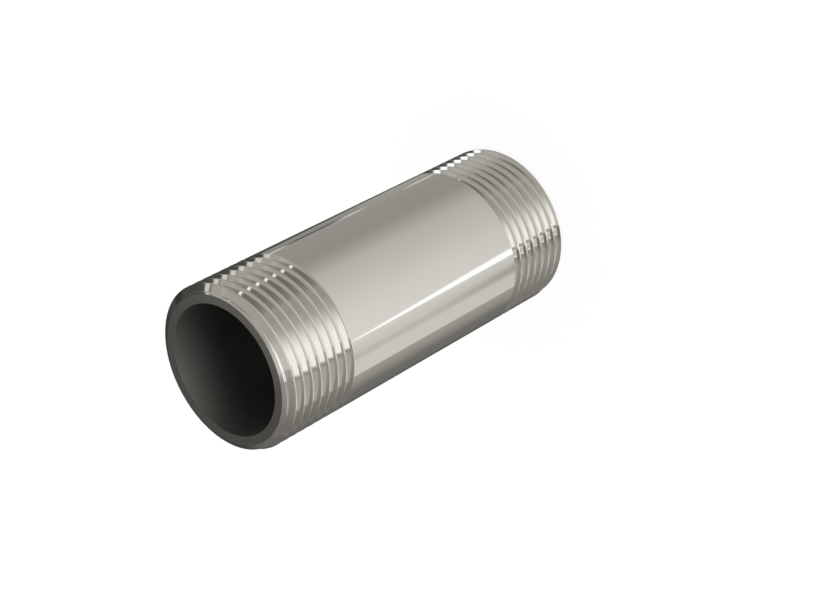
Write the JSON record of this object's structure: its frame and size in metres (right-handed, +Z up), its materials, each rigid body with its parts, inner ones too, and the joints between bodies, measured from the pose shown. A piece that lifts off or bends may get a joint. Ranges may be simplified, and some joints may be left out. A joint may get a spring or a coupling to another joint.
{
  "type": "threaded extension nipple",
  "caption": "Straight steel pipe nipple with a smooth barrel and a right-hand pipe thread on each bevelled end, for lengthening or joining a pipe run.",
  "frame": {"origin": "middle of the lower end face, on the pipe's axis", "axes": "+Z up the pipe's axis, from the lower end to the upper one; both threads run out on the +Y side"},
  "size_m": [0.0334, 0.0334, 0.0807],
  "materials": {
    "polished_steel": "bright drawn and turned stainless steel with a faint lengthwise grain"
  },
  "bodies": {
    "root": {"threaded_nipple": "polished_steel"}
  },
  "joints": []
}
